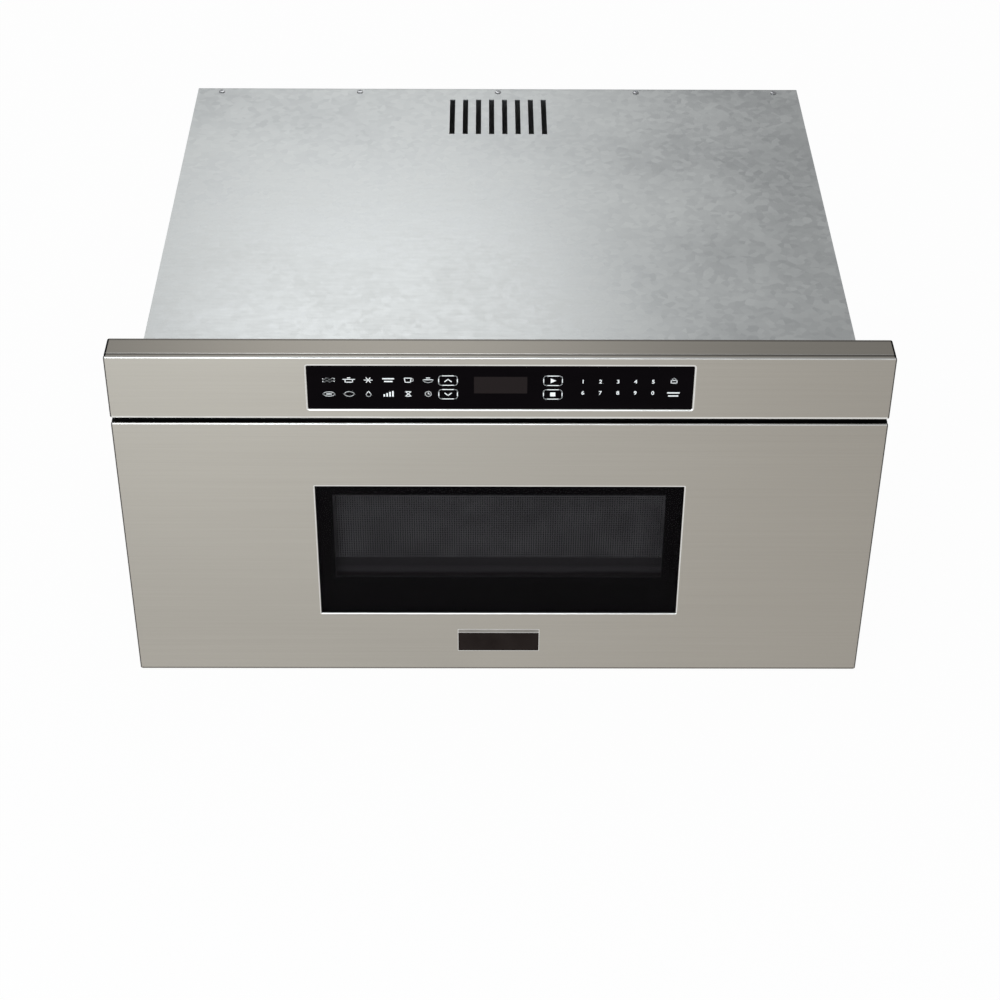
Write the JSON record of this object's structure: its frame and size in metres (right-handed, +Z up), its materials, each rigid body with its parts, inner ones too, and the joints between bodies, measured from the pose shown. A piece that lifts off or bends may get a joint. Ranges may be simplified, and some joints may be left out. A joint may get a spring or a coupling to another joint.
{
  "type": "microwave drawer",
  "caption": "Built-in microwave drawer: stainless front with a touch panel and a windowed drawer that holds a tub, on telescopic slides with a rack drive, in a full chassis.",
  "frame": {"origin": "centre of the width, on the underside of the base pan where it rests on the cabinet's shelf, in the plane of the cabinet's face", "axes": "+X to the user's right, -Y out of the front towards the user, +Z up"},
  "size_m": [0.7604, 0.597, 0.3985],
  "materials": {
    "stainless": "horizontally brushed, satin",
    "zinc": "zinc coated sheet",
    "black_paint": "satin black powder coat",
    "black_glass": "polished, printed black behind",
    "black_plastic": "moulded, fine texture",
    "enamel": "light grey cavity paint",
    "tub_plastic": "moulded, satin",
    "steel": "bright machined",
    "core_steel": "varnished laminations and windings",
    "ceramic": "unglazed, fine",
    "board": "solder resist",
    "white_plastic": "moulded acetal",
    "clear_glass": "polished",
    "black_screen": "matt black, perforated in the real piece"
  },
  "bodies": {
    "chassis": {"control_fascia": "stainless", "control_glass": "black_glass", "display_module": "black_plastic", "control_board": "board", "control_housing": "black_plastic", "face_frame": "black_paint", "base_pan": "zinc", "chassis_wrap": "zinc", "rear_panel": "zinc", "cord_gland": "black_plastic", "oven_cavity": "enamel", "antenna_cover": "ceramic", "waveguide": "zinc", "magnetron": "steel", "antenna_motor": "steel", "exhaust_duct": "black_plastic", "fan_shroud": "zinc", "fan_motor": "steel", "hv_transformer": "core_steel", "hv_capacitor": "zinc", "hv_rectifier": "black_plastic", "line_filter": "board", "lamp_housing": "zinc", "lamp_bulb": "clear_glass", "interlock_switch_right": "white_plastic", "interlock_switch_left": "white_plastic", "slide_outer_right": "zinc", "slide_outer_left": "zinc", "rail_bracket_right": "zinc", "rail_bracket_left": "zinc", "shaft_bush_right": "white_plastic", "shaft_bush_left": "white_plastic", "drive_gearmotor": "black_plastic"},
    "drawer": {"drawer_front": "stainless", "window_glass": "black_glass", "door_pressing": "zinc", "choke_frame": "zinc", "choke_cover": "black_plastic", "window_screen": "black_screen", "inner_pane": "clear_glass", "drawer_tub": "tub_plastic", "glass_tray": "clear_glass", "drawer_arm_right": "zinc", "drawer_arm_left": "zinc", "slide_inner_right": "zinc", "slide_inner_left": "zinc", "rack_right": "white_plastic", "rack_left": "white_plastic", "latch_head_right": "white_plastic", "latch_head_left": "white_plastic"},
    "slide_middle_right": {"slide_middle_right": "zinc"},
    "slide_middle_left": {"slide_middle_left": "zinc"},
    "cross_shaft": {"drive_shaft": "steel", "pinion_right": "white_plastic", "pinion_left": "white_plastic"},
    "fan": {"fan_impeller": "black_plastic"},
    "antenna": {"stirrer_antenna": "steel"}
  },
  "joints": [
    {"name": "drawer_slide", "type": "slide", "parent": "chassis", "child": "drawer", "axis": [0, -1, 0], "range_m": [0, 0.381]},
    {"name": "slide_middle_right", "type": "slide", "parent": "chassis", "child": "slide_middle_right", "axis": [0, -1, 0], "range_m": [0, 0.191]},
    {"name": "slide_middle_left", "type": "slide", "parent": "chassis", "child": "slide_middle_left", "axis": [0, -1, 0], "range_m": [0, 0.191]},
    {"name": "cross_shaft_turn", "type": "hinge", "parent": "chassis", "child": "cross_shaft", "pos_m": [0, 0.08, 0.03], "axis": [1, 0, 0], "range_deg": [0, 1092]},
    {"name": "fan_spin", "type": "hinge", "parent": "chassis", "child": "fan", "pos_m": [0.076, 0.49185, 0.116], "axis": [1, 0, 0], "continuous": true},
    {"name": "antenna_spin", "type": "hinge", "parent": "chassis", "child": "antenna", "pos_m": [0, 0.20875, 0.087], "axis": [0, 0, 1], "continuous": true}
  ],
  "couplings": [
    {"joint": "slide_middle_right", "follows": "drawer_slide", "ratio": 0.5},
    {"joint": "slide_middle_left", "follows": "drawer_slide", "ratio": 0.5},
    {"joint": "cross_shaft_turn", "follows": "drawer_slide", "rad_per_m": 50}
  ]
}
